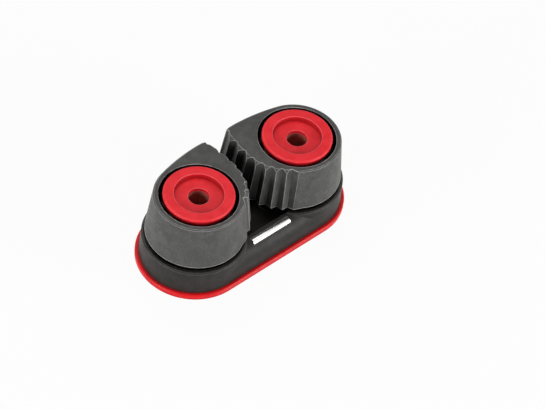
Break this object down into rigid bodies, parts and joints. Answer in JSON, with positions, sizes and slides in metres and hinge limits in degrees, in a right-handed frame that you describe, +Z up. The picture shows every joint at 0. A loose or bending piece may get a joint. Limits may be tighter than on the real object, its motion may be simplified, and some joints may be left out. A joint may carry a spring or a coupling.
{
  "type": "cam cleat",
  "caption": "Low cam cleat: toothed spiral cams on ball bearings grip a line above a moulded base with a steel wear pin and red discs.",
  "frame": {"origin": "middle of the underside, half way between the screw holes", "axes": "+X through the screw holes, -Y the side that the line comes in from, +Z up from the deck"},
  "size_m": [0.0514, 0.0244, 0.0198],
  "materials": {
    "red_plastic": "smooth moulded, satin",
    "housing_plastic": "moulded glass-filled, fine grain",
    "cam_plastic": "moulded glass-filled, fine grain",
    "ball_plastic": "smooth",
    "pin_steel": "ground bright",
    "spring_steel": "drawn wire"
  },
  "bodies": {
    "base": {"base_plate": "red_plastic", "base_housing": "housing_plastic", "wear_pin": "pin_steel", "retaining_disc_left": "red_plastic", "retaining_disc_right": "red_plastic", "spring_left": "spring_steel", "spring_right": "spring_steel"},
    "left_cam": {"cam_left": "cam_plastic"},
    "left_upper_balls": {"upper_balls_left": "ball_plastic"},
    "left_lower_balls": {"lower_balls_left": "ball_plastic"},
    "right_cam": {"cam_right": "cam_plastic"},
    "right_upper_balls": {"upper_balls_right": "ball_plastic"},
    "right_lower_balls": {"lower_balls_right": "ball_plastic"}
  },
  "joints": [
    {"name": "left_cam_opens", "type": "hinge", "parent": "base", "child": "left_cam", "pos_m": [-0.0135, 0, 0.014], "axis": [0, 0, 1], "range_deg": [0, 60], "stiffness_Nm_per_rad": 0.005, "springref_deg": -40.11, "deforming": ["spring_left"]},
    {"name": "left_upper_balls_roll", "type": "hinge", "parent": "base", "child": "left_upper_balls", "pos_m": [-0.0135, 0, 0.014], "axis": [0, 0, 1], "range_deg": [0, 30]},
    {"name": "left_lower_balls_roll", "type": "hinge", "parent": "base", "child": "left_lower_balls", "pos_m": [-0.0135, 0, 0.014], "axis": [0, 0, 1], "range_deg": [0, 30]},
    {"name": "right_cam_opens", "type": "hinge", "parent": "base", "child": "right_cam", "pos_m": [0.0135, 0, 0.014], "axis": [0, 0, -1], "range_deg": [0, 60], "stiffness_Nm_per_rad": 0.005, "springref_deg": -40.11, "deforming": ["spring_right"]},
    {"name": "right_upper_balls_roll", "type": "hinge", "parent": "base", "child": "right_upper_balls", "pos_m": [0.0135, 0, 0.014], "axis": [0, 0, -1], "range_deg": [0, 30]},
    {"name": "right_lower_balls_roll", "type": "hinge", "parent": "base", "child": "right_lower_balls", "pos_m": [0.0135, 0, 0.014], "axis": [0, 0, -1], "range_deg": [0, 30]}
  ],
  "couplings": [
    {"joint": "left_upper_balls_roll", "follows": "left_cam_opens", "ratio": 0.5},
    {"joint": "left_lower_balls_roll", "follows": "left_cam_opens", "ratio": 0.5},
    {"joint": "right_upper_balls_roll", "follows": "right_cam_opens", "ratio": 0.5},
    {"joint": "right_lower_balls_roll", "follows": "right_cam_opens", "ratio": 0.5}
  ]
}
